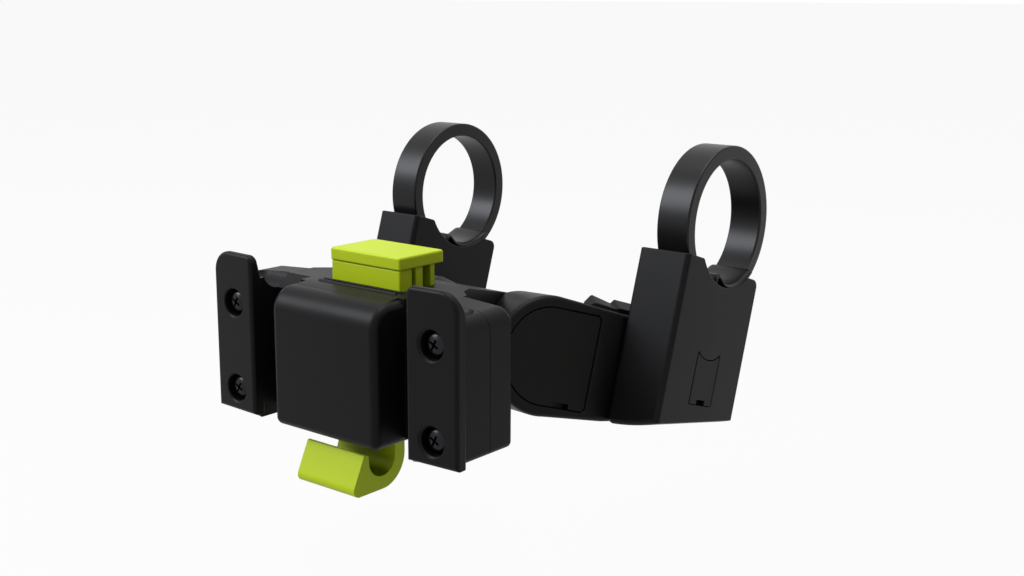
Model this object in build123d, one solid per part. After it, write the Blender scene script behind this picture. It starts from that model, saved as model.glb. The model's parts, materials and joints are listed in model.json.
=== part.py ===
from build123d import *
import os
from math import cos, radians, sin, tan

# A quick-release mount for a handlebar bag. Two bands hold it on the handlebar, two splayed arms carry a
# head in front of the bar, and the bag hooks over the head's two flange rails and round its square housing.
# A spring-loaded slider with a push button on top and a J hook below locks the bag.
#
# Frame: origin on the handlebar's axis midway between the clamps, X along the bar, Y towards the rider,
# Z up; +X is on the right for someone who faces the mount from in front. Sizes are in millimetres.
#
# The head is drawn in its own frame: X as above, Y back from the rails' front, Z up from the rails' foot.
# Arms and clamps are drawn in the bar's frame, which leans back about the bar's axis.

# Place of the head and lean of the arms
reach = 91.5
drop = 42.7
lean = 17.6

# Fits, and how far cutters run past what they cut
clearance = 0.15
running = 0.3
shaft_fit = 0.05
past = 1.0
far = 100.0

# Flange rails
rail_inner = 24.7
rail_outer = 38.7
rail_height = 38.5
rail_thick = 3.4
rail_tip = 2.1
rail_taper = 5.5
rail_corner = 5.0
rail_inner_corner = 1.8
rail_round = 0.9
rail_toe = 3.0

# Wings behind the rails, web and seam between the two shells
wing_outer = 38.2
wing_foot = 1.0
wing_inner_foot = -0.8
deck_top = 33.0
wing_fall = 0.9
wing_depth = 19.5
wing_corner = 4.0
wing_round = 1.4
seam_depth = 11.4
seam_chamfer = 0.25
web_front = 8.0
web_top = 30.0
valley_radius = 4.4
valley_end = 31.5

# Catch housing
housing_half = 16.6
housing_front = 1.5
housing_foot = 0.0
housing_step = 0.4
housing_brow = 5.5
housing_edge = 1.8
housing_wall = 2.6

# Deck and spine of the rear shell, and the bead in front of the button
deck_bend = 25.5
deck_end = 49.3
deck_slope = 14.2
deck_shoulder = 21.4
shoulder_depth = 2.8
deck_waist = 11.4
deck_thick = 3.2
spine_under = 1.0
spine_bend = 8.0
spine_reach = 9.5
spine_end = 2.0
bead_half = 12.5
bead_width = 0.6
bead_rise = 0.4
bead_round = 0.2

# Push button
cap_half = 11.3
cap_front = 12.4
cap_depth = 14.7
cap_thick = 2.8
cap_corner = 0.8
cap_round = 0.5
button_rise = 7.7
button_half = 11.1
button_front = 12.6
button_corner = 0.6
button_wall = 3.7
button_groove = 1.3
button_rib = 2.3
button_wide_groove = 2.6
button_back = 1.4
groove_depth = 6.0
neck_height = 0.35
neck_inset = 0.4

# Flange under the deck that stops the slider, stem and hook
flange_thick = 2.5
flange_lip = 1.2
stem_front = 12.0
stem_thick = 3.2
hook_half = 9.3
hook_foot = 12.5
hook_nose = 2.2
hook_nose_round = 1.7
hook_tip = 2.9
hook_tip_front = 2.3
hook_tip_width = 1.2
hook_tip_fall = 0.6
hook_tip_round = 0.6
throat_radius = 4.2

# Return spring
spring_radius = 3.6
spring_wire = 0.9
spring_turns = 5
spring_length = 14.2
spring_offset = 2.3

# Head screws
screw_radius = 2.0
screw_head_radius = 3.1
screw_head_height = 2.4
screw_head_round = 0.8
screw_length = 15.0
screw_sink = 2.3
screw_low = 5.5
screw_pitch = 21.0
screw_pocket_radius = 3.3
screw_pocket_chamfer = 0.4
screw_slot = 1.0
screw_slot_half = 1.9
screw_slot_depth = 1.1

# Hinges
toe = 23.2
hinge_x = 28.8
hinge_forward = 36.3
hinge_drop = 41.0
arm_radius = 14.5
arm_thick = 16.1
arm_foot = 13.2
arm_crown = 13.6
arm_foot_rise = 4.0
arm_end = 9.0
arm_round = 1.3
pivot_radius = 8.0
pivot_height = 2.2
hinge_bolt_radius = 3.0
hinge_bolt_past = 1.5
hinge_head_radius = 5.0
hinge_head_height = 4.0
hinge_head_room = 6.0
hinge_socket = 5.0
hinge_socket_depth = 2.5
hinge_nut_flat = 10.0
hinge_nut_height = 5.0
hinge_nut_depth = 4.0
washer_thick = 1.0
washer_margin = 0.1

# Hinge covers
cover_radius = 11.65
cover_rear = 12.5
cover_thick = 1.6
cover_corner = 1.0
cover_sink = 0.15
cover_gap = 0.2
notch_width = 4.2
notch_depth = 1.2
notch_forward = 5.8

# Raised pad on top of the arm
pad_start = 13.0
pad_ramp = 1.7
pad_lip = 1.25
pad_height = 3.4
pad_dip = 1.0
pad_step_at = 21.0
pad_end = 27.5
pad_step = 0.9
pad_depth = 6.5
pad_width = 4.5

# Clamps
bar_radius = 15.9
band_spacing = 88.9
clamp_inboard = 7.6
clamp_outboard = 6.6
clamp_front = 19.5
clamp_rear = 16.5
clamp_shoulder = 10.5
clamp_back_shoulder = 11.8
clamp_back_corner = 2.0
clamp_foot = 54.2
clamp_foot_out = 51.65
clamp_foot_back = 48.4
clamp_foot_bulge = 0.5
clamp_foot_round = 1.5
clamp_round = 1.3
band_width = 8.9
band_thick = 3.5
leg_back = 7.0
leg_depth = 9.6
leg_split = 0.8
leg_foot = 35.0
leg_root = 2.0
leg_play = 4.0

# Tension screw and its square nut
tension_radius = 2.0
tension_head_radius = 3.4
tension_head_height = 3.6
tension_socket = 3.0
tension_socket_depth = 2.0
tension_seat = 43.5
tension_tip = 26.5
tension_nut_half = 3.5
tension_nut_height = 2.4
tension_nut_at = 31.5

# Side bolt from the clamp into the arm, and its cover
side_bolt_back = -1.1
side_bolt_drop = 39.4
side_bolt_radius = 2.5
side_bolt_length = 16.0
side_head_radius = 4.2
side_head_height = 3.0
side_socket = 4.0
side_socket_depth = 2.0
side_nut_flat = 8.0
side_nut_height = 4.0
side_nut_inset = 4.0
side_cover_width = 10.5
side_cover_height = 12.6
side_cover_sag = 1.5
side_cover_thick = 1.2
side_notch_width = 4.0

# Worked-out places
band_middle = band_spacing / 2
clamp_inner = band_middle - clamp_inboard
clamp_outer = band_middle + clamp_outboard
screw_x = (rail_inner + rail_outer) / 2
screw_heights = (screw_low, screw_low + screw_pitch)
button_top = deck_top + button_rise
cap_foot = button_top - cap_thick
first_groove = button_front + button_wall
second_groove = first_groove + button_groove + button_rib
button_rear = second_groove + button_wide_groove + button_back
deck_under = deck_top - deck_thick
flange_top = deck_under - running
flange_foot = flange_top - flange_thick
flange_half = button_half + running + flange_lip
flange_rear = button_rear + running + flange_lip
spring_seat = flange_foot - spring_length
stem_back = stem_front + stem_thick
side_head_face = clamp_outer - side_cover_thick - side_head_height - running
side_nut_back = clamp_inner - side_nut_inset - side_nut_height
head_place = Location((0, -reach, -drop))
bar_lean = Location((0, 0, 0), (-lean, 0, 0))
to_arm = Vector(sin(radians(toe)), cos(radians(toe)), 0)
to_side = Vector(cos(radians(toe)), -sin(radians(toe)), 0)
hinge_out = Plane(origin=(hinge_x, -hinge_forward, -hinge_drop), x_dir=to_arm, z_dir=to_side)
hinge_in = hinge_out.offset(-arm_thick)
hinge_floor = hinge_out.offset(-cover_thick - hinge_head_room)


# Drawing helpers: a sketch's second axis becomes Z on the front and side prisms

def rect(x0, x1, y0, y1):
    return Pos((x0 + x1) / 2, (y0 + y1) / 2) * Rectangle(x1 - x0, y1 - y0)


def outline(*points):
    return make_face(Polyline(*points, close=True))


def hexagon(flats):
    return RegularPolygon(flats / 2, 6, major_radius=False)


def corner(sketch, x, y, radius):
    return fillet(sketch.vertices().sort_by_distance((x, y, 0))[0], radius)


def front_prism(sketch, y0, y1):
    return Pos(0, y1, 0) * extrude(Plane.XZ * sketch, y1 - y0)


def side_prism(sketch, x0, x1):
    return Pos(x0, 0, 0) * extrude(Plane.YZ * sketch, x1 - x0)


def plan_prism(sketch, z0, z1):
    return Pos(0, 0, z0) * extrude(sketch, z1 - z0)


def block(x0, x1, y0, y1, z0, z1):
    return plan_prism(rect(x0, x1, y0, y1), z0, z1)


def x_rod(y, z, radius, x0, x1):
    return side_prism(Pos(y, z) * Circle(radius), x0, x1)


def y_rod(x, z, radius, y0, y1):
    return front_prism(Pos(x, z) * Circle(radius), y0, y1)


def z_rod(x, y, radius, z0, z1):
    return plan_prism(Pos(x, y) * Circle(radius), z0, z1)


def mirrored(shape):
    return mirror(shape, Plane.YZ)


def both(shape):
    return shape + mirrored(shape)


def in_head(point):
    # A point of the leaning bar frame, seen from the head's frame
    placed = bar_lean * Location(point)
    return placed.position - head_place.position


def from_bar(shape):
    # A shape drawn in the leaning bar frame, moved to the head's frame
    return head_place.inverse() * (bar_lean * shape)


# Head, in its own frame

def rail():
    # Flange with a thinner top, turned a little so that its outer edge leans back
    plate = rect(rail_inner, rail_outer, 0, rail_height)
    plate = corner(plate, rail_outer, rail_height, rail_corner)
    plate = corner(plate, rail_inner, rail_height, rail_inner_corner)
    solid = front_prism(plate, 0, rail_thick)
    taper_foot = rail_height - rail_taper
    taper = outline((rail_thick, taper_foot), (rail_tip, rail_height), (rail_thick, rail_height))
    solid -= side_prism(taper, rail_inner, rail_outer)
    slope_middle = (screw_x, (rail_thick + rail_tip) / 2, rail_height - rail_taper / 2)
    front = solid.faces().sort_by(Axis.Y)[0].edges()
    back = solid.faces().sort_by(Axis.Y)[-1].edges().sort_by(Axis.Z)[:-1]
    slope = solid.faces().sort_by_distance(slope_middle)[0].edges().sort_by(Axis.Z)[1:]
    solid = fillet(front + back + slope, rail_round)
    turn = Pos(screw_x, 0, 0) * Rot(0, 0, rail_toe) * Pos(-screw_x, 0, 0)
    return turn * solid


def wing(y0, y1):
    outer_top = deck_top - wing_fall
    section = outline(
        (rail_inner, wing_inner_foot),
        (rail_inner, deck_top),
        (wing_outer, outer_top),
        (wing_outer, wing_foot),
    )
    section = corner(section, wing_outer, outer_top, wing_corner)
    section = corner(section, wing_outer, wing_foot, wing_round)
    return front_prism(section, y0, y1)


def rear_wing():
    solid = wing(seam_depth, wing_depth)
    solid = fillet(solid.faces().sort_by(Axis.Y)[-1].edges().sort_by(Axis.X)[1:], wing_round)
    return chamfer(solid.faces().sort_by(Axis.Y)[0].edges().sort_by(Axis.X)[1:], seam_chamfer)


def valley():
    # Round hollow in the wing's top behind the rail, closed by a ball end
    height = web_top + valley_radius
    channel = x_rod(web_front, height, valley_radius, rail_inner, valley_end)
    return channel + Pos(valley_end, web_front, height) * Sphere(valley_radius)


def front_shell():
    web = front_prism(rect(-rail_inner, rail_inner, wing_foot, deck_top), web_front, seam_depth)
    ramp = outline((web_front, web_top), (seam_depth, deck_top), (web_front, deck_top))
    web -= both(side_prism(ramp, housing_half, rail_inner))
    shell = web + both(rail() + wing(rail_thick / 2, seam_depth) - valley()) + catch_housing()
    for height in screw_heights:
        hole = y_rod(screw_x, height, screw_radius + clearance, -past, seam_depth)
        pocket = y_rod(screw_x, height, screw_pocket_radius, -past, screw_sink + screw_head_height)
        shell -= both(hole + pocket + pocket_mouth(height))
    return shell - housing_cavity()


def pocket_mouth(height):
    # Chamfer round the screw pocket, as a cone from in front of the rail
    length = past + screw_pocket_chamfer
    cone = Cone(screw_pocket_radius + length, screw_pocket_radius, length)
    return Pos(screw_x, length / 2 - past, height) * Rot(-90, 0, 0) * cone


def catch_housing():
    # Square block with a large round brow and rounded edges
    side = rect(-housing_front, seam_depth, housing_foot, deck_top - housing_step)
    side = corner(side, -housing_front, deck_top - housing_step, housing_brow)
    solid = side_prism(side, -housing_half, housing_half)
    foot = solid.edges().filter_by(Axis.X).sort_by_distance((0, -housing_front, housing_foot))[:1]
    ends = solid.faces().sort_by(Axis.X)
    left = ends[0].edges().sort_by(Axis.Y)[:-1]
    right = ends[-1].edges().sort_by(Axis.Y)[:-1]
    return fillet(foot + left + right, housing_edge)


def housing_cavity():
    half = housing_half - housing_wall
    return block(
        -half, half, housing_wall - housing_front, seam_depth, housing_foot + housing_wall, deck_under
    )


def rear_shell():
    shell = both(rear_wing() - valley()) + spine() + bead()
    pocket_half = flange_half + running
    pocket = block(-pocket_half, pocket_half, seam_depth, flange_rear + running, spring_seat, deck_under)
    mouth_half = button_half + running
    mouth_front = button_front - running
    mouth_rear = button_rear + running
    mouth = block(-mouth_half, mouth_half, mouth_front, mouth_rear, spring_seat, deck_top + past)
    channel_half = hook_half + running
    channel = block(
        -channel_half, channel_half, seam_depth, stem_back + running, spine_under - past, deck_under
    )
    shell -= pocket + mouth + channel
    for height in screw_heights:
        pilot_end = screw_sink + screw_length + running
        shell -= both(y_rod(screw_x, height, screw_radius + shaft_fit, seam_depth, pilot_end))
    return shell - hinge_hollows()


def bead():
    back = button_front - 2 * running
    solid = block(-bead_half, bead_half, back - bead_width, back, deck_under, deck_top + bead_rise)
    return fillet(solid.faces().sort_by(Axis.Z)[-1].edges(), bead_round)


def spine():
    # Plan: full width at the seam, waisted over the barrels, then spreading along the arms' inner faces
    tail = in_head(hinge_in.origin + to_arm * spine_reach)
    half = outline(
        (0, seam_depth),
        (rail_inner, seam_depth),
        (rail_inner, wing_depth),
        (deck_shoulder, wing_depth + shoulder_depth),
        (deck_waist, deck_end),
        (tail.X + pivot_height, tail.Y),
        (0, tail.Y),
    )
    side = spine_side(tail.Y + spine_end)
    body = side_prism(side, 0, wing_outer) & plan_prism(half, side.bounding_box().min.Y, deck_top)
    body -= barrel_clearance()
    body += from_bar(extrude(hinge_in.offset(-2 * running) * Circle(pivot_radius), pivot_height + running))
    return both(body)


def spine_side(rear):
    # Side view: flat deck, a slope behind the button, then the arms' own lean; the foot follows it
    deck_low = deck_top - (deck_end - deck_bend) * tan(radians(deck_slope))
    foot_bend = in_head(hinge_in.origin).Y - spine_bend
    return outline(
        (seam_depth, spine_under),
        (seam_depth, deck_top),
        (deck_bend, deck_top),
        (deck_end, deck_low),
        (rear, deck_low - (rear - deck_end) * tan(radians(lean))),
        (rear, spine_under - (rear - foot_bend) * tan(radians(lean))),
        (foot_bend, spine_under),
    )


def barrel_clearance():
    radius = arm_radius + running
    path = Circle(radius) + rect(0, 3 * arm_radius, -radius, radius)
    return from_bar(extrude(hinge_in.offset(-running) * path, 2 * arm_thick))


def hinge_hollows():
    # Bolt hole through the pivot boss, and a nut slot that is open below
    bolt_hole = Circle(hinge_bolt_radius + shaft_fit)
    bore = extrude(hinge_in * bolt_hole, -hinge_nut_depth - hinge_nut_height - hinge_bolt_past - running)
    bore += extrude(hinge_in * bolt_hole, pivot_height)
    flats = hinge_nut_flat + 2 * clearance
    slot = hexagon(flats) + rect(-flats / 2, flats / 2, -2 * arm_radius, 0)
    slot = extrude(hinge_in.offset(-hinge_nut_depth) * slot, -hinge_nut_height - 2 * clearance)
    return both(from_bar(bore + slot))


# Slider, in the head's frame

def slider():
    cap = block(-cap_half, cap_half, cap_front, cap_front + cap_depth, cap_foot, button_top)
    cap = fillet(cap.edges().filter_by(Axis.Z), cap_corner)
    cap = fillet(cap.faces().sort_by(Axis.Z)[-1].edges(), cap_round)
    flange = block(-flange_half, flange_half, stem_front, flange_rear, flange_foot, flange_top)
    return cap + button_body() + flange + hook()


def button_body():
    # Block with comb-like open sides and a fine line across the front under the cap
    body = block(-button_half, button_half, button_front, button_rear, flange_foot, cap_foot)
    body = fillet(body.edges().filter_by(Axis.Z).sort_by(Axis.Y)[:2], button_corner)
    line_back = button_front + neck_inset
    body -= block(-button_half, button_half, button_front, line_back, cap_foot - neck_height, cap_foot)
    floor = button_half - groove_depth
    for y0, width in ((first_groove, button_groove), (second_groove, button_wide_groove)):
        body -= both(block(floor, button_half, y0, y0 + width, flange_top, cap_foot))
    return body


def hook():
    # J section: stem at the back, round throat, sloped lip in front with a straight foot
    heel_radius = throat_radius + stem_thick
    throat_y = stem_front - throat_radius
    throat_z = heel_radius - hook_foot
    section = outline(
        (stem_front, flange_top),
        (stem_back, flange_top),
        (stem_back, throat_z),
        (throat_y, -hook_foot),
        (-hook_nose, -hook_foot),
        (hook_tip_front, -hook_tip),
        (hook_tip_front + hook_tip_width, -hook_tip - hook_tip_fall),
        (throat_y - throat_radius, throat_z),
        (stem_front, throat_z),
    )
    section = corner(section, -hook_nose, -hook_foot, hook_nose_round)
    section = corner(section, hook_tip_front, -hook_tip, hook_tip_round)
    section += Pos(throat_y, throat_z) * Circle(heel_radius) & rect(throat_y, stem_back, -hook_foot, throat_z)
    section -= Pos(throat_y, throat_z) * Circle(throat_radius)
    return side_prism(section, -hook_half, hook_half)


def return_spring():
    height = spring_length - spring_wire - 2 * clearance
    path = Helix(pitch=height / spring_turns, height=height, radius=spring_radius)
    wire = sweep(Plane(origin=path @ 0, z_dir=path % 0) * Circle(spring_wire / 2), path=path)
    middle = (button_front + button_rear) / 2 + spring_offset
    return Pos(0, middle, spring_seat + clearance + spring_wire / 2) * wire


def head_screw():
    seat = screw_sink + screw_head_height
    head = y_rod(0, 0, screw_head_radius, screw_sink, seat)
    head = fillet(head.edges().sort_by(Axis.Y)[0], screw_head_round)
    bar = rect(-screw_slot / 2, screw_slot / 2, -screw_slot_half, screw_slot_half)
    cross = front_prism(bar + Rot(0, 0, 90) * bar, screw_sink, screw_sink + screw_slot_depth)
    return head + y_rod(0, 0, screw_radius, seat, screw_sink + screw_length) - cross


# Arms, covers and hinge bolts, in the leaning bar frame

def arm_side():
    # Side view on the hinge plane: round barrel, then a band that narrows a little to the clamp
    seam = (hinge_forward - clamp_front) / cos(radians(toe))
    end = 3 * arm_radius
    band_part = outline(
        (0, arm_radius),
        (seam, arm_crown),
        (end, arm_crown),
        (end, arm_foot_rise - arm_foot),
        (seam, -arm_foot),
        (0, -arm_radius),
    )
    return Circle(arm_radius) + band_part


def arm():
    solid = extrude(hinge_out * arm_side(), -arm_thick)
    outer = Axis(hinge_out.origin, to_side)
    solid = fillet(solid.faces().sort_by(outer)[-1].edges(), arm_round)
    solid += arm_pad()
    solid -= block(clamp_inner, far, -hinge_forward, far, -far, 0)
    solid -= block(0, clamp_inner, arm_end, far, -far, 0)
    cover_seat = extrude(hinge_out * cover_outline(cover_gap), -cover_thick - cover_sink - clearance)
    head_room = extrude(hinge_out * Circle(hinge_head_radius + running), -cover_thick - hinge_head_room)
    bolt_hole = extrude(hinge_out * Circle(hinge_bolt_radius + shaft_fit), -arm_thick)
    pivot_hole = extrude(hinge_in * Circle(pivot_radius + shaft_fit), pivot_height + clearance)
    side_hole = x_rod(
        side_bolt_back,
        -side_bolt_drop,
        side_bolt_radius + clearance,
        clamp_inner - side_bolt_length,
        clamp_inner,
    )
    nut_room = Pos(side_bolt_back, -side_bolt_drop) * hexagon(side_nut_flat + 2 * clearance)
    nut_slot = side_prism(nut_room, 0, side_nut_back + side_nut_height)
    return solid - (cover_seat + head_room + bolt_hole + pivot_hole + side_hole + nut_slot)


def arm_pad():
    low = arm_crown + pad_lip
    high = arm_crown + pad_height
    side = outline(
        (pad_start, 0),
        (pad_start, low),
        (pad_start + pad_ramp, high),
        (pad_step_at, high - pad_dip),
        (pad_step_at + pad_step, high),
        (pad_end, high),
        (pad_end, 0),
    )
    return extrude(hinge_out.offset(-pad_depth) * side, -pad_width)


def cover_outline(grow):
    # D shape: round front, flat top and foot, straight back
    radius = cover_radius + grow
    rear = cover_rear + grow
    shape = Circle(radius) + rect(0, rear, -radius, radius)
    shape = corner(shape, rear, radius, cover_corner + grow)
    return corner(shape, rear, -radius, cover_corner + grow)


def hinge_cover():
    foot = -cover_radius
    half = notch_width / 2
    notch = rect(notch_forward - half, notch_forward + half, foot, foot + notch_depth)
    return extrude(hinge_out.offset(-cover_sink) * (cover_outline(0) - notch), -cover_thick)


def hinge_bolt():
    under_head = hinge_floor.offset(washer_thick)
    grip = arm_thick - cover_thick - hinge_head_room + washer_thick
    length = grip + hinge_nut_depth + hinge_nut_height + hinge_bolt_past
    head = extrude(under_head * Circle(hinge_head_radius), hinge_head_height)
    shank = extrude(under_head * Circle(hinge_bolt_radius), -length)
    socket = extrude(under_head.offset(hinge_head_height) * hexagon(hinge_socket), -hinge_socket_depth)
    return head + shank - socket


def hinge_washer():
    ring = Circle(hinge_head_radius + washer_margin) - Circle(hinge_bolt_radius + clearance)
    return extrude(hinge_floor * ring, washer_thick)


def hinge_nut():
    ring = hexagon(hinge_nut_flat) - Circle(hinge_bolt_radius + shaft_fit)
    return extrude(hinge_in.offset(-hinge_nut_depth - clearance) * ring, -hinge_nut_height)


# Clamps, in the leaning bar frame

def clamp_body():
    body = clamp_blank()
    body -= x_rod(0, 0, bar_radius, clamp_inner, clamp_outer)
    slot = band_width / 2 + clearance
    left, right = band_middle - slot, band_middle + slot
    body -= x_rod(0, 0, bar_radius + band_thick + clearance, left, right)
    leg_half = leg_depth / 2 + clearance
    leg_low = -leg_foot - leg_play
    body -= block(left, right, leg_back - leg_half, leg_back + leg_half, leg_low, -clamp_shoulder)
    body -= z_rod(band_middle, leg_back, tension_radius + clearance, -clamp_foot, -leg_foot)
    body -= z_rod(band_middle, leg_back, tension_head_radius + running, -clamp_foot - past, -tension_seat)
    bolt_hole = x_rod(side_bolt_back, -side_bolt_drop, side_bolt_radius + clearance, clamp_inner, clamp_outer)
    head_hole = x_rod(side_bolt_back, -side_bolt_drop, side_head_radius + running, side_head_face, clamp_outer)
    cover_floor = clamp_outer - side_cover_thick - clearance
    cover_seat = side_prism(side_cover_outline(clearance), cover_floor, clamp_outer)
    return body - (bolt_hole + head_hole + cover_seat)


def clamp_blank():
    # Side view cut off by a foot that rises outwards, backwards and in a slight bulge
    side = outline(
        (-clamp_front, -clamp_shoulder),
        (-clamp_front, -clamp_foot),
        (clamp_rear, -clamp_foot),
        (clamp_rear, -clamp_back_shoulder),
        (0, -clamp_back_shoulder),
        (0, -clamp_shoulder),
    )
    side = corner(side, clamp_rear, -clamp_back_shoulder, clamp_back_corner)
    foot_in = (clamp_inner, -clamp_foot)
    foot_out = (clamp_outer, -clamp_foot_out)
    foot_low = (clamp_foot + clamp_foot_out) / 2 + clamp_foot_bulge
    foot_middle = ((clamp_inner + clamp_outer) / 2, -foot_low)
    frame = Polyline(foot_in, (clamp_inner, 0), (clamp_outer, 0), foot_out)
    front = make_face(frame + ThreePointArc(foot_out, foot_middle, foot_in))
    front = corner(front, clamp_inner, -clamp_foot, clamp_foot_round)
    length = clamp_front + clamp_rear
    foot_rise = (clamp_foot_out - clamp_foot_back) / length
    slanted = extrude(Pos(0, -clamp_front, 0) * (Plane.XZ * front), length + past, dir=(0, 1, foot_rise))
    body = side_prism(side, clamp_inner, clamp_outer) & slanted
    return fillet(body.edges().filter_by(Axis.Z).group_by(Axis.Y)[0], clamp_round)


def side_cover_outline(grow):
    # Rectangle with a hollow top edge
    half = side_cover_width / 2 + grow
    high = side_cover_height / 2
    radius = ((side_cover_width / 2) ** 2 + side_cover_sag**2) / (2 * side_cover_sag)
    hollow = Pos(0, high - side_cover_sag + radius) * Circle(radius - grow)
    shape = rect(-half, half, -high - grow, high + grow) - hollow
    return Pos(side_bolt_back, -side_bolt_drop) * shape


def side_cover():
    half = side_notch_width / 2
    foot = -side_bolt_drop - side_cover_height / 2
    notch = rect(side_bolt_back - half, side_bolt_back + half, foot, foot + notch_depth)
    return side_prism(side_cover_outline(0) - notch, clamp_outer - side_cover_thick, clamp_outer)


def band():
    # Closed ring with a split pair of legs that hold the tension nut
    left, right = band_middle - band_width / 2, band_middle + band_width / 2
    ring = x_rod(0, 0, bar_radius + band_thick, left, right)
    front, back = leg_back - leg_depth / 2, leg_back + leg_depth / 2
    legs = block(left, right, front, back, -leg_foot, leg_root - bar_radius)
    split = block(left, right, leg_back - leg_split / 2, leg_back + leg_split / 2, -leg_foot, 0)
    nut_half = tension_nut_half + clearance
    nut_low = -tension_nut_at - clearance
    nut_high = -tension_nut_at + tension_nut_height + clearance
    nut_room = block(left, right, leg_back - nut_half, leg_back + nut_half, nut_low, nut_high)
    screw_room = z_rod(band_middle, leg_back, tension_radius + clearance, -leg_foot, past - tension_tip)
    solid = ring + legs - x_rod(0, 0, bar_radius, left, right)
    return solid - (split + nut_room + screw_room)


def tension_screw():
    foot = -tension_seat - tension_head_height
    head = z_rod(band_middle, leg_back, tension_head_radius, foot, -tension_seat)
    shank = z_rod(band_middle, leg_back, tension_radius, -tension_seat, -tension_tip)
    socket = Pos(band_middle, leg_back) * hexagon(tension_socket)
    return head + shank - plan_prism(socket, foot, foot + tension_socket_depth)


def tension_nut():
    half = tension_nut_half
    foot, top = -tension_nut_at, tension_nut_height - tension_nut_at
    nut = block(band_middle - half, band_middle + half, leg_back - half, leg_back + half, foot, top)
    return nut - z_rod(band_middle, leg_back, tension_radius + shaft_fit, foot, top)


def side_bolt():
    top = side_head_face + side_head_height
    head = x_rod(side_bolt_back, -side_bolt_drop, side_head_radius, side_head_face, top)
    tip = side_head_face - side_bolt_length
    shank = x_rod(side_bolt_back, -side_bolt_drop, side_bolt_radius, tip, side_head_face)
    socket = Pos(side_bolt_back, -side_bolt_drop) * hexagon(side_socket)
    return head + shank - side_prism(socket, top - side_socket_depth, top)


def side_nut():
    ring = hexagon(side_nut_flat) - Circle(side_bolt_radius + shaft_fit)
    place = Pos(side_bolt_back, -side_bolt_drop)
    return side_prism(place * ring, side_nut_back, side_nut_back + side_nut_height)


def write(name, shape):
    solids = shape.solids()
    kept = solids[0] if len(solids) == 1 else Compound(children=list(solids))
    export_step(kept, f"parts/{name}.step")


def write_pair(name, shape):
    write(f"{name}_left", mirrored(shape))
    write(f"{name}_right", shape)


os.makedirs("parts", exist_ok=True)

head_pieces = {
    "front_shell": front_shell(),
    "rear_shell": rear_shell(),
    "slider": slider(),
    "return_spring": return_spring(),
}
for name, shape in head_pieces.items():
    write(name, head_place * shape)
for number, height in enumerate(screw_heights, start=1):
    write_pair(f"head_screw_{number}", head_place * (Pos(screw_x, 0, height) * head_screw()))

bar_pieces = {
    "arm": arm(),
    "hinge_bolt": hinge_bolt(),
    "hinge_washer": hinge_washer(),
    "hinge_nut": hinge_nut(),
    "hinge_cover": hinge_cover(),
    "clamp_body": clamp_body(),
    "band": band(),
    "tension_screw": tension_screw(),
    "tension_nut": tension_nut(),
    "side_bolt": side_bolt(),
    "side_nut": side_nut(),
    "side_cover": side_cover(),
}
for name, shape in bar_pieces.items():
    write_pair(name, bar_lean * shape)
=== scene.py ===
import json
from math import cos, pi, radians, sin

import bmesh
import bpy
from mathutils import Matrix, Vector


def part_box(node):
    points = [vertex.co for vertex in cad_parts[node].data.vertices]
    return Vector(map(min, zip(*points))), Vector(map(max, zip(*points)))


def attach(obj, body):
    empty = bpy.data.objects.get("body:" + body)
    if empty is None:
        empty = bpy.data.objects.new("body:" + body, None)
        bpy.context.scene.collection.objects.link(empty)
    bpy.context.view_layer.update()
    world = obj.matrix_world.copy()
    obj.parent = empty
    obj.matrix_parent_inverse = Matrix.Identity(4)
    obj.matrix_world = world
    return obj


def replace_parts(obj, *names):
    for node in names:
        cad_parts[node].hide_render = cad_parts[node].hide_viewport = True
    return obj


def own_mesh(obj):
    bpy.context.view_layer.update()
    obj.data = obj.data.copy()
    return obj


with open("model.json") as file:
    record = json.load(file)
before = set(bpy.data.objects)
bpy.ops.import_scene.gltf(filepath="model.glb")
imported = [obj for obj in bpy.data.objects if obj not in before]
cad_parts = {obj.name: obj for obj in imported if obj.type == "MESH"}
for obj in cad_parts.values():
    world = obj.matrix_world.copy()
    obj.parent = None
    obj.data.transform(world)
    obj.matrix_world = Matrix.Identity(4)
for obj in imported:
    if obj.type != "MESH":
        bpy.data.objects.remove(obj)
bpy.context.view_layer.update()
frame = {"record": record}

mm = 0.001
print("frame loaded")


def toLinear(hexColour):
    # sRGB hex to the linear colour that shader sockets take
    parts = [int(hexColour[i:i + 2], 16) / 255 for i in (1, 3, 5)]
    linear = [p / 12.92 if p <= 0.04045 else ((p + 0.055) / 1.055) ** 2.4 for p in parts]
    return (*linear, 1.0)


def addNode(tree, kind, settings=None, inputs=None):
    # adds one node, sets its properties, then fills or links its inputs by name or number
    node = tree.nodes.new(kind)
    for name, value in (settings or {}).items():
        setattr(node, name, value)
    for socket, value in (inputs or {}).items():
        if isinstance(value, bpy.types.NodeSocket):
            tree.links.new(value, node.inputs[socket])
        else:
            node.inputs[socket].default_value = value
    return node


def newMaterial(name):
    material = bpy.data.materials.new(name)
    material.use_nodes = True
    material.node_tree.nodes.clear()
    return material, material.node_tree


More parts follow.
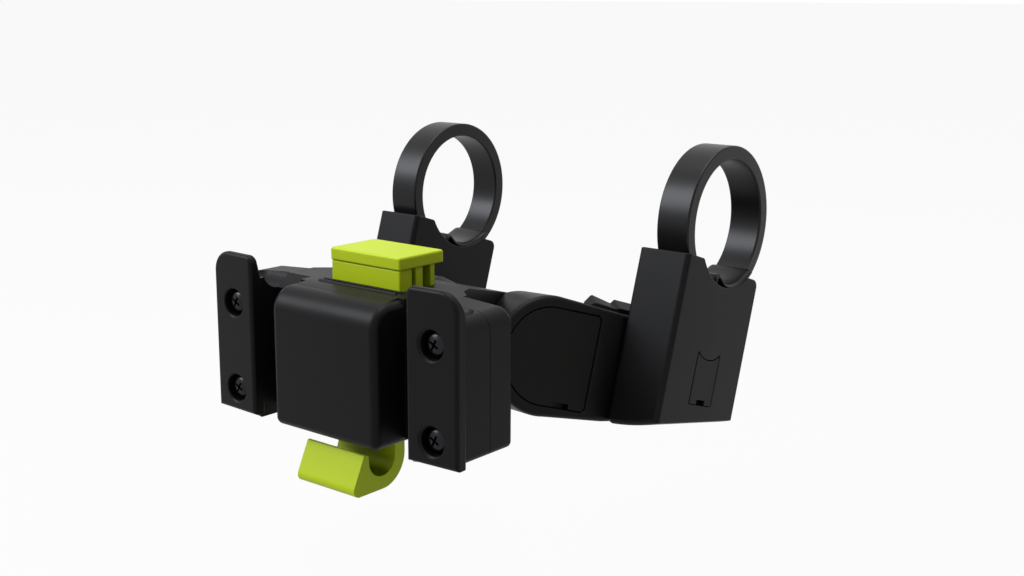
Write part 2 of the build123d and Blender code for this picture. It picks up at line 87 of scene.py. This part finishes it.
# grain sizes, here and for the metals, are about four times the real ones, so that they show
mouldedFinishes = {
    "sparkErodedNylon": {
        # glass-filled nylon from a spark-eroded mould: deep black, satin, with a fine even grain
        "colour": "#0c0c0d", "shade": "#111112", "roughness": 0.42, "roughnessSpread": 0.05,
        "specular": 0.1, "grainMm": 0.45, "grainDepthMm": 0.012, "flowMm": 18.0, "edgeMm": 0.1,
    },
    "smoothNylonBand": {
        # unfilled nylon from a polished mould: smoother than the shells, so it shines more
        "colour": "#0d0d0e", "shade": "#111112", "roughness": 0.34, "roughnessSpread": 0.05,
        "specular": 0.2, "grainMm": 0.6, "grainDepthMm": 0.006, "flowMm": 22.0, "edgeMm": 0.15,
    },
    "satinAbsCover": {
        # ABS inlay from a fine-grained mould: a shade duller than the arm round it
        "colour": "#0b0b0a", "shade": "#0f0f0e", "roughness": 0.48, "roughnessSpread": 0.05,
        "specular": 0.11, "grainMm": 0.35, "grainDepthMm": 0.01, "flowMm": 14.0, "edgeMm": 0.1,
    },
    "limeAcetal": {
        # self-coloured acetal: bright lime all through, silky from the mould, soft highlights
        "colour": "#afc413", "shade": "#b5ca18", "roughness": 0.44, "roughnessSpread": 0.04,
        "specular": 0.2, "grainMm": 0.5, "grainDepthMm": 0.005, "flowMm": 12.0, "edgeMm": 0.4,
    },
}
metalFinishes = {
    "blackOxideSteel": {
        # blackened steel screw: near-black metal that still shines on its edges
        "colour": "#29292b", "roughness": 0.27, "grainMm": 0.3, "grainDepthMm": 0.004,
    },
    "zincPlatedSteel": {
        # bright zinc on turned steel: pale silver with a faint cloudy bloom
        "colour": "#b9bcc0", "roughness": 0.3, "grainMm": 0.8, "grainDepthMm": 0.003,
    },
    "drawnSpringWire": {
        # drawn spring steel: grey and fairly bright, with fine marks from the die
        "colour": "#8d9095", "roughness": 0.26, "grainMm": 0.2, "grainDepthMm": 0.003,
    },
}
textureMaking = {
    "noiseSpan": (0.3, 0.7),  # most of the noise lies within this
    "flowDetail": 2.0, "flowRoughness": 0.5, "grainDetail": 3.0, "grainRoughness": 0.6,
    "plasticBump": 0.6, "plasticIor": 1.5, "edgeSamples": 6,
    "metalBump": 0.5, "metalSmoother": 0.05, "metalRougher": 0.08,
}


def roughnessFrom(tree, noise, low, high):
    span = textureMaking["noiseSpan"]
    return addNode(tree, "ShaderNodeMapRange", {}, {
        "Value": noise.outputs["Fac"], "From Min": span[0], "From Max": span[1],
        "To Min": low, "To Max": high}).outputs["Result"]


def mouldedPlastic(name, look):
    material, tree = newMaterial(name)
    place = addNode(tree, "ShaderNodeTexCoord").outputs["Object"]
    # tone and gloss drift slowly, as the melt flowed
    flow = addNode(tree, "ShaderNodeTexNoise", {}, {
        "Vector": place, "Scale": 1 / (look["flowMm"] * mm),
        "Detail": textureMaking["flowDetail"], "Roughness": textureMaking["flowRoughness"]})
    grain = addNode(tree, "ShaderNodeTexNoise", {}, {
        "Vector": place, "Scale": 1 / (look["grainMm"] * mm),
        "Detail": textureMaking["grainDetail"], "Roughness": textureMaking["grainRoughness"]})
    tone = addNode(tree, "ShaderNodeMix", {"data_type": "RGBA"}, {
        "Factor": flow.outputs["Fac"],
        "A": toLinear(look["colour"]), "B": toLinear(look["shade"])})
    half = look["roughnessSpread"] / 2
    # softens the look of arrises that the CAD leaves sharp
    edge = addNode(tree, "ShaderNodeBevel", {"samples": textureMaking["edgeSamples"]}, {
        "Radius": look["edgeMm"] * mm})
    bump = addNode(tree, "ShaderNodeBump", {}, {
        "Strength": textureMaking["plasticBump"], "Distance": look["grainDepthMm"] * mm,
        "Height": grain.outputs["Fac"], "Normal": edge.outputs["Normal"]})
    shader = addNode(tree, "ShaderNodeBsdfPrincipled", {}, {
        "Base Color": tone.outputs[2],
        "Roughness": roughnessFrom(
            tree, flow, look["roughness"] - half, look["roughness"] + half),
        "Specular IOR Level": look["specular"], "IOR": textureMaking["plasticIor"],
        "Normal": bump.outputs["Normal"]})
    addNode(tree, "ShaderNodeOutputMaterial", {}, {"Surface": shader.outputs["BSDF"]})
    return material


def platedMetal(name, look):
    material, tree = newMaterial(name)
    place = addNode(tree, "ShaderNodeTexCoord").outputs["Object"]
    grain = addNode(tree, "ShaderNodeTexNoise", {}, {
        "Vector": place, "Scale": 1 / (look["grainMm"] * mm),
        "Detail": textureMaking["grainDetail"]})
    bump = addNode(tree, "ShaderNodeBump", {}, {
        "Strength": textureMaking["metalBump"], "Distance": look["grainDepthMm"] * mm,
        "Height": grain.outputs["Fac"]})
    shader = addNode(tree, "ShaderNodeBsdfPrincipled", {}, {
        "Base Color": toLinear(look["colour"]), "Metallic": 1.0,
        "Roughness": roughnessFrom(
            tree, grain, look["roughness"] - textureMaking["metalSmoother"],
            look["roughness"] + textureMaking["metalRougher"]),
        "Normal": bump.outputs["Normal"]})
    addNode(tree, "ShaderNodeOutputMaterial", {}, {"Surface": shader.outputs["BSDF"]})
    return material


materials = {name: mouldedPlastic(name, look) for name, look in mouldedFinishes.items()}
materials.update({name: platedMetal(name, look) for name, look in metalFinishes.items()})
print("materials made")

slotFinish = {
    "black_plastic": "sparkErodedNylon",
    "band_plastic": "smoothNylonBand",
    "cover_plastic": "satinAbsCover",
    "lime_plastic": "limeAcetal",
    "black_steel": "blackOxideSteel",
    "zinc_steel": "zincPlatedSteel",
    "spring_steel": "drawnSpringWire",
}
slotOf = {part["node"]: part["material_slot"] for part in frame["record"]["subparts"]}
bodyOf = {
    node: body
    for body, nodes in frame["record"]["behaviour"]["bodies"].items() for node in nodes}


def dressNode(node):
    finish = slotFinish[slotOf[node]]
    if node.startswith("hinge_nut"):
        finish = "blackOxideSteel"  # a corner of the nut's pocket opens on the spine's back
    mesh = bpy.data.objects[node].data
    mesh.materials.clear()
    mesh.materials.append(materials[finish])


for node in slotOf:
    dressNode(node)
print("nodes dressed")


def addObject(name, data):
    made = bpy.data.objects.new(name, data)
    bpy.context.scene.collection.objects.link(made)
    return made


def meshFrom(shape, name):
    mesh = bpy.data.meshes.new(name)
    shape.to_mesh(mesh)
    shape.free()
    return mesh


def placePiece(mesh, name, node):
    # links a piece, gives it its node's finish and body
    piece = addObject(name, mesh)
    mesh.materials.clear()
    mesh.materials.append(materials[slotFinish[slotOf[node]]])
    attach(piece, bodyOf[node])
    return piece


edgeMaking = {
    "arrisDeg": 32.0,  # arrises sharper than this are rounded and shaded sharp
    "steps": 3, "mergeMm": 0.001, "flatDeg": 0.4,  # faces this near to flat become one
}


def smoothShade(mesh):
    for face in mesh.polygons:
        face.use_smooth = True
    mesh.set_sharp_from_angle(angle=radians(edgeMaking["arrisDeg"]))


def roundEdges(piece, edgeMm, sharperDeg):
    bevel = piece.modifiers.new("mouldedEdges", "BEVEL")
    bevel.width = edgeMm * mm
    bevel.segments = edgeMaking["steps"]
    bevel.limit_method = "ANGLE"
    bevel.angle_limit = radians(sharperDeg)
    return bevel


def mergedCopy(node):
    copy = bmesh.new()
    copy.from_mesh(bpy.data.objects[node].data)
    bmesh.ops.remove_doubles(copy, verts=copy.verts, dist=edgeMaking["mergeMm"] * mm)
    return copy


def newVerts(grown):
    return [g for g in grown["geom"] if isinstance(g, bmesh.types.BMVert)]


def drawOut(shape, corners):
    # fills an outline with one face and extrudes it, still in place: gives the new corners
    face = shape.faces.new([shape.verts.new(corner) for corner in corners])
    return newVerts(bmesh.ops.extrude_face_region(shape, geom=[face]))


# the arms lean back about the bar and splay out: axes of one arm's outer face, in millimetres
armFrame = {"leanDeg": 17.6, "toeDeg": 23.2, "hinge": (28.8, -36.3, -41.0)}
barToPart = Matrix.Rotation(-radians(armFrame["leanDeg"]), 3, "X")
toe = radians(armFrame["toeDeg"])
alongArm = Vector((sin(toe), cos(toe), 0))
outOfArm = Vector((cos(toe), -sin(toe), 0))


def onArm(along, height, depth, sign):
    # a point along the arm, above its hinge axis and inside its outer face
    bar = Vector(armFrame["hinge"]) + along * alongArm - depth * outOfArm + Vector((0, 0, height))
    place = barToPart @ bar * mm
    return Vector((sign * place.x, place.y, place.z))


def armCoordinates(point):
    # the reverse, for either arm, in millimetres
    outward = Vector((abs(point.x), point.y, point.z))
    bar = barToPart.transposed() @ outward / mm - Vector(armFrame["hinge"])
    return bar.dot(alongArm), bar.z, -bar.dot(outOfArm)


# the CAD's plain pad on the arm's top, which armPad below replaces
plainPad = {
    "alongMm": (12.5, 28.5), "depthMm": (6.0, 11.5), "clearMm": 0.05,
    # the arm's top falls by fallMm over fallLengthMm
    "topMm": 14.5, "fallMm": 0.9, "fallLengthMm": 18.3,
}


def clearPad(source):
    # takes the plain pad off the arm's top and closes the face
    near, far = plainPad["alongMm"]
    outer, inner = plainPad["depthMm"]
    length = plainPad["fallLengthMm"]
    gone = []
    for face in source.faces:
        along, height, depth = armCoordinates(face.calc_center_median())
        top = plainPad["topMm"] - plainPad["fallMm"] * min(along, length) / length
        above = height > top + plainPad["clearMm"]
        if above and near < along < far and outer < depth < inner:
            gone.append(face)
    bmesh.ops.delete(source, geom=gone, context="FACES")
    bmesh.ops.holes_fill(source, edges=[e for e in source.edges if e.is_boundary], sides=0)


# moulded arrises: merged copies of the CAD meshes whose sharp edges get a small real round
roundedPairs = {
    "arm": {"piece": "splayedArm", "edgeMm": 0.3, "prepare": clearPad},
    "clamp_body": {"piece": "barClamp", "edgeMm": 0.35, "prepare": None},
    "band": {"piece": "strapRing", "edgeMm": 0.4, "prepare": None},
    "hinge_cover": {"piece": "pivotInlay", "edgeMm": 0.2, "prepare": None},
    "side_cover": {"piece": "boltInlay", "edgeMm": 0.15, "prepare": None},
}


def roundedCopy(node, name, look):
    source = mergedCopy(node)
    if look["prepare"]:
        look["prepare"](source)
    bmesh.ops.dissolve_limit(source, angle_limit=radians(edgeMaking["flatDeg"]),
                             verts=source.verts, edges=source.edges)
    mesh = meshFrom(source, name)
    smoothShade(mesh)
    piece = placePiece(mesh, name, node)
    bevel = roundEdges(piece, look["edgeMm"], edgeMaking["arrisDeg"])
    bevel.use_clamp_overlap = False
    bevel.miter_outer = "MITER_ARC"
    weighted = piece.modifiers.new("flatFaces", "WEIGHTED_NORMAL")
    weighted.keep_sharp = True
    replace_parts(piece, node)


for stem, look in roundedPairs.items():
    for side in ("left", "right"):
        roundedCopy(f"{stem}_{side}", f"{look['piece']}_{side}", look)
print("edges rounded")


def makeSpring():
    mesh = meshFrom(mergedCopy("return_spring"), "catchSpring")
    smoothShade(mesh)
    piece = placePiece(mesh, mesh.name, "return_spring")
    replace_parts(piece, "return_spring")
    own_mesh(piece)


makeSpring()
print("spring coiled")


# in front of the button: a round bead on the deck, and the slope from the deck to the block
deckFront = {
    # side view of the slope, y and z in millimetres
    "slopeMm": ((-80.2, -10.4), (-80.2, -9.68), (-83.5, -9.68), (-85.2, -9.85),
                (-86.9, -10.08), (-86.9, -10.4)),
    "slopeHalfMm": 14.8,
    "beadMm": (-81.5, -9.72), "beadRadiusMm": 0.45, "beadHalfMm": 12.4, "beadFacets": 24,
    "edgeMm": 0.15, "arrisDeg": 50.0,
}


def finishFront(front, name):
    bmesh.ops.recalc_face_normals(front, faces=front.faces)
    mesh = meshFrom(front, name)
    smoothShade(mesh)
    roundEdges(placePiece(mesh, name, "front_shell"), deckFront["edgeMm"], deckFront["arrisDeg"])


def makeSlope():
    slope = bmesh.new()
    half = deckFront["slopeHalfMm"] * mm
    ends = drawOut(slope, [(-half, y * mm, z * mm) for y, z in deckFront["slopeMm"]])
    bmesh.ops.translate(slope, verts=ends, vec=(2 * half, 0, 0))
    finishFront(slope, "blockSlope")


def makeBead():
    bead = bmesh.new()
    radius = deckFront["beadRadiusMm"] * mm
    bmesh.ops.create_cone(bead, cap_ends=True, segments=deckFront["beadFacets"],
                          radius1=radius, radius2=radius,
                          depth=2 * deckFront["beadHalfMm"] * mm,
                          matrix=Matrix.Rotation(pi / 2, 4, "Y"))
    y, z = deckFront["beadMm"]
    bmesh.ops.translate(bead, verts=bead.verts, vec=(0, y * mm, z * mm))
    finishFront(bead, "deckBead")


makeSlope()
makeBead()
print("deck front made")


# small stepped pad on top of each arm, in front of the clamp
armPad = {
    # side view, along the arm and above the hinge axis: the ridge, and the foot line that the
    # top falls to near the arm's outer face
    "ridgeMm": ((9.7, 14.65), (11.1, 16.5), (11.6, 16.75), (17.2, 15.7), (18.1, 16.8),
                (23.2, 16.65)),
    "footMm": ((9.2, 14.15), (10.7, 14.75), (11.4, 14.8), (17.0, 14.4), (18.0, 14.7),
               (23.2, 14.6)),
    "sunkMm": 12.6, "ridgeDepthMm": 5.2, "footDepthMm": 1.6, "edgeMm": 0.2, "arrisDeg": 35.0,
}


def makeArmPad(side, sign):
    pad = bmesh.new()
    sunk = tuple((armPad["ridgeMm"][i][0], armPad["sunkMm"]) for i in (-1, 0))
    ridge = armPad["ridgeMm"] + sunk
    feet = armPad["footMm"] + sunk
    outline = [onArm(along, height, armPad["ridgeDepthMm"], sign) for along, height in ridge]
    for vert in drawOut(pad, outline):
        nearest = min(range(len(outline)), key=lambda i: (outline[i] - vert.co).length)
        along, height = feet[nearest]
        vert.co = onArm(along, height, armPad["footDepthMm"], sign)
    bmesh.ops.recalc_face_normals(pad, faces=pad.faces)
    mesh = meshFrom(pad, f"armPad_{side}")
    smoothShade(mesh)
    roundEdges(placePiece(mesh, mesh.name, f"arm_{side}"), armPad["edgeMm"], armPad["arrisDeg"])


makeArmPad("left", -1)
makeArmPad("right", 1)
print("arm pads made")


# pan-head screw with a cross recess, sunk in the rail's pocket
crossScrew = {
    # radius and depth behind the crown, in millimetres
    "profileMm": ((0.0, 0.0), (1.2, 0.08), (2.1, 0.35), (2.75, 0.85), (3.05, 1.5), (3.1, 3.9),
                  (2.0, 3.9), (2.0, 14.2)),
    "forwardMm": 1.5,  # how far the crown stands forward of the CAD's plain head
    "facets": 40, "mergeMm": 0.01,
    # the recess's two blades, which narrow to bladeFoot of their size inside
    "turnDeg": 28.0, "bladeMm": 0.8, "bladeLengthMm": 3.6, "bladeDepthMm": 1.5, "bladeFoot": 0.45,
}


def recessCutter(turn):
    # one tapered blade of the cross recess, in front of the origin and into it
    cutter = bmesh.new()
    bmesh.ops.create_cube(cutter, size=1.0)
    bmesh.ops.scale(cutter, verts=cutter.verts, vec=(
        crossScrew["bladeLengthMm"] * mm,
        2 * (crossScrew["bladeDepthMm"] * mm),
        crossScrew["bladeMm"] * mm))
    inside = [v for v in cutter.verts if v.co.y > 0]
    foot = crossScrew["bladeFoot"]
    bmesh.ops.scale(cutter, verts=inside, vec=(foot, 1.0, foot))
    bmesh.ops.rotate(cutter, verts=cutter.verts, matrix=Matrix.Rotation(turn, 3, "Y"))
    return addObject("recessBlade", meshFrom(cutter, "recessBlade"))


def screwMesh():
    # crown on the origin, shank along +Y
    lathe = bmesh.new()
    points = [lathe.verts.new((r * mm, depth * mm, 0)) for r, depth in crossScrew["profileMm"]]
    line = [lathe.edges.new(pair) for pair in zip(points, points[1:])]
    bmesh.ops.spin(lathe, geom=points + line, axis=(0, 1, 0), cent=(0, 0, 0), angle=2 * pi,
                   steps=crossScrew["facets"], use_merge=True)
    bmesh.ops.remove_doubles(lathe, verts=lathe.verts, dist=crossScrew["mergeMm"] * mm)
    bmesh.ops.holes_fill(lathe, edges=[e for e in lathe.edges if e.is_boundary], sides=0)
    bmesh.ops.recalc_face_normals(lathe, faces=lathe.faces)
    blank = addObject("screwBlank", meshFrom(lathe, "screwBlank"))
    turn = radians(crossScrew["turnDeg"])
    cutters = [recessCutter(turn), recessCutter(turn + pi / 2)]
    for cutter in cutters:
        cut = blank.modifiers.new("recess", "BOOLEAN")
        cut.operation = "DIFFERENCE"
        cut.object = cutter
    depsgraph = bpy.context.evaluated_depsgraph_get()
    done = bpy.data.meshes.new_from_object(blank.evaluated_get(depsgraph))
    for spare in cutters + [blank]:
        bpy.data.objects.remove(spare)
    return done


def makeScrew(blank, number, side):
    node = f"head_screw_{number}_{side}"
    low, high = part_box(node)
    mesh = blank.copy()
    mesh.name = f"crossScrew_{number}_{side}"
    crown = low.y - crossScrew["forwardMm"] * mm
    mesh.transform(Matrix.Translation(((low.x + high.x) / 2, crown, (low.z + high.z) / 2)))
    smoothShade(mesh)
    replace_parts(placePiece(mesh, mesh.name, node), node)


blankScrew = screwMesh()
for number in (1, 2):
    for side in ("left", "right"):
        makeScrew(blankScrew, number, side)
print("screws turned")


# soft tongue inside each ring, which takes up the bar's tolerance: its front end curls up
barTongue = {
    # side view, y and z about the bar's axis in millimetres, from rear foot to curled tip
    "lineMm": ((9.6, -12.9), (6.6, -14.35), (3.0, -15.3), (-0.8, -15.4), (-3.8, -14.5),
               (-5.2, -12.9), (-6.1, -11.7), (-7.3, -12.3), (-7.6, -13.9)),
    # distance from the middle, and how far the surface rolls outwards there
    "rowsMm": ((38.4, 0.9), (38.5, 0.5), (39.0, 0.12), (39.9, 0.0),
               (49.0, 0.0), (49.9, 0.12), (50.4, 0.5), (50.5, 0.9)),
    "reachMm": 15.4, "thickMm": 0.8, "smoothing": 2, "levelMm": 0.0001,
}


def makeTongue(side, sign):
    tongue = bmesh.new()
    reach = barTongue["reachMm"]
    across, roll = barTongue["rowsMm"][0]
    points = [tongue.verts.new((sign * across * mm, y * mm, z * mm))
              for y, z in barTongue["lineMm"]]
    line = [tongue.edges.new(pair) for pair in zip(points, points[1:])]
    bmesh.ops.scale(tongue, verts=points, vec=(1, 1 + roll / reach, 1 + roll / reach))
    for nextAcross, nextRoll in barTongue["rowsMm"][1:]:
        grown = bmesh.ops.extrude_edge_only(tongue, edges=line)
        moved = newVerts(grown)
        bmesh.ops.translate(tongue, verts=moved, vec=(sign * (nextAcross - across) * mm, 0, 0))
        change = (reach + nextRoll) / (reach + roll)
        bmesh.ops.scale(tongue, verts=moved, vec=(1, change, change))
        # the next row grows from the edges that lie along this one
        edges = [g for g in grown["geom"] if isinstance(g, bmesh.types.BMEdge)]
        line = [e for e in edges
                if abs(e.verts[0].co.x - e.verts[1].co.x) < barTongue["levelMm"] * mm]
        across, roll = nextAcross, nextRoll
    bmesh.ops.recalc_face_normals(tongue, faces=tongue.faces)
    mesh = meshFrom(tongue, f"barTongue_{side}")
    for face in mesh.polygons:
        face.use_smooth = True
    piece = placePiece(mesh, mesh.name, f"band_{side}")
    wall = piece.modifiers.new("wall", "SOLIDIFY")
    wall.thickness = barTongue["thickMm"] * mm
    wall.offset = 0.0
    soft = piece.modifiers.new("soft", "SUBSURF")
    soft.levels = soft.render_levels = barTongue["smoothing"]


makeTongue("left", -1)
makeTongue("right", 1)
print("tongues laid")


# the photograph's camera: a long lens a little above the deck, turned to the mount's left
cameraView = {
    "azimuth": 38.9961, "elevation": 12.1203, "roll": 0.2914, "distanceMm": 357.3165,
    "targetMm": (-3.416, -21.345, -20.187), "sensorMm": 36.0, "lensMm": 47.536,
    "clipStart": 0.01,
}


def makeCamera(view):
    az, el, roll = (radians(view[k]) for k in ("azimuth", "elevation", "roll"))
    back = Vector((sin(az) * cos(el), -cos(az) * cos(el), sin(el)))
    level = Vector((cos(az), sin(az), 0))
    up = back.cross(level)
    right = level * cos(roll) + up * sin(roll)
    top = up * cos(roll) - level * sin(roll)
    place = Vector(view["targetMm"]) * mm + back * view["distanceMm"] * mm
    camera = bpy.data.cameras.new("photoCamera")
    camera.sensor_width = view["sensorMm"]
    camera.lens = view["lensMm"]
    camera.clip_start = view["clipStart"]
    holder = addObject("photoCamera", camera)
    turn = Matrix((right, top, back)).transposed().to_4x4()
    holder.matrix_world = Matrix.Translation(place) @ turn
    bpy.context.scene.camera = holder


# plain stage and soft studio light
stage = {
    "floorZ": -0.105, "floorSize": 60.0, "floorColour": "#b8b8b8", "glow": 0.94,
    "worldStrength": 0.22, "worldColour": "#fff8ee", "ground": "#ffffff",
}
softboxes = {
    "keySoftbox": {
        "place": (-0.50, -0.57, 0.49), "aim": (0, -0.05, -0.02),
        "size": 0.42, "power": 7.3, "tint": "#f4f7ff",
    },
    "topSoftbox": {
        "place": (0.05, 0.02, 0.80), "aim": (0, -0.04, 0),
        "size": 0.6, "power": 5.3, "tint": "#ffffff",
    },
}


def seenRays(tree):
    # 1 for rays that should see the white ground: camera, glossy and transmission
    rays = addNode(tree, "ShaderNodeLightPath").outputs
    seen = addNode(tree, "ShaderNodeMath", {"operation": "MAXIMUM"}, {
        0: rays["Is Camera Ray"], 1: rays["Is Glossy Ray"]})
    seen = addNode(tree, "ShaderNodeMath", {"operation": "MAXIMUM"}, {
        0: seen.outputs[0], 1: rays["Is Transmission Ray"]})
    return seen.outputs[0]


def makeFloor():
    grid = bmesh.new()
    bmesh.ops.create_grid(grid, x_segments=1, y_segments=1, size=stage["floorSize"])
    bmesh.ops.translate(grid, verts=grid.verts, vec=(0, 0, stage["floorZ"]))
    floor = addObject("studioFloor", meshFrom(grid, "studioFloor"))
    material, tree = newMaterial("paleStudioPaper")
    # matt paper that keeps the object's shadow, and glows for the rays that see the ground
    paper = addNode(tree, "ShaderNodeBsdfDiffuse", {}, {
        "Color": toLinear(stage["floorColour"])})
    glow = addNode(tree, "ShaderNodeEmission", {}, {
        "Color": toLinear(stage["ground"]), "Strength": 1.0})
    share = addNode(tree, "ShaderNodeMath", {"operation": "MULTIPLY"}, {
        0: seenRays(tree), 1: stage["glow"]})
    mix = addNode(tree, "ShaderNodeMixShader", {}, {
        0: share.outputs[0], 1: paper.outputs[0], 2: glow.outputs[0]})
    addNode(tree, "ShaderNodeOutputMaterial", {}, {"Surface": mix.outputs[0]})
    floor.data.materials.append(material)


def makeWorld():
    world = bpy.data.worlds.new("studioWorld")
    world.use_nodes = True
    tree = world.node_tree
    tree.nodes.clear()
    fill = addNode(tree, "ShaderNodeBackground", {}, {
        "Color": toLinear(stage["worldColour"]), "Strength": stage["worldStrength"]})
    white = addNode(tree, "ShaderNodeBackground", {}, {
        "Color": toLinear(stage["ground"]), "Strength": 1.0})
    mix = addNode(tree, "ShaderNodeMixShader", {}, {
        0: seenRays(tree), 1: fill.outputs[0], 2: white.outputs[0]})
    addNode(tree, "ShaderNodeOutputWorld", {}, {"Surface": mix.outputs[0]})
    bpy.context.scene.world = world


def makeLamps():
    for name, lamp in softboxes.items():
        light = bpy.data.lights.new(name, "AREA")
        light.shape = "SQUARE"
        light.size = lamp["size"]
        light.energy = lamp["power"]
        light.color = toLinear(lamp["tint"])[:3]
        holder = addObject(name, light)
        holder.location = lamp["place"]
        aim = Vector(lamp["aim"]) - Vector(lamp["place"])
        holder.rotation_euler = aim.to_track_quat("-Z", "Y").to_euler()


makeCamera(cameraView)
makeFloor()
makeWorld()
makeLamps()
bpy.context.scene.view_settings.view_transform = "Standard"
print("camera, floor and lights made")
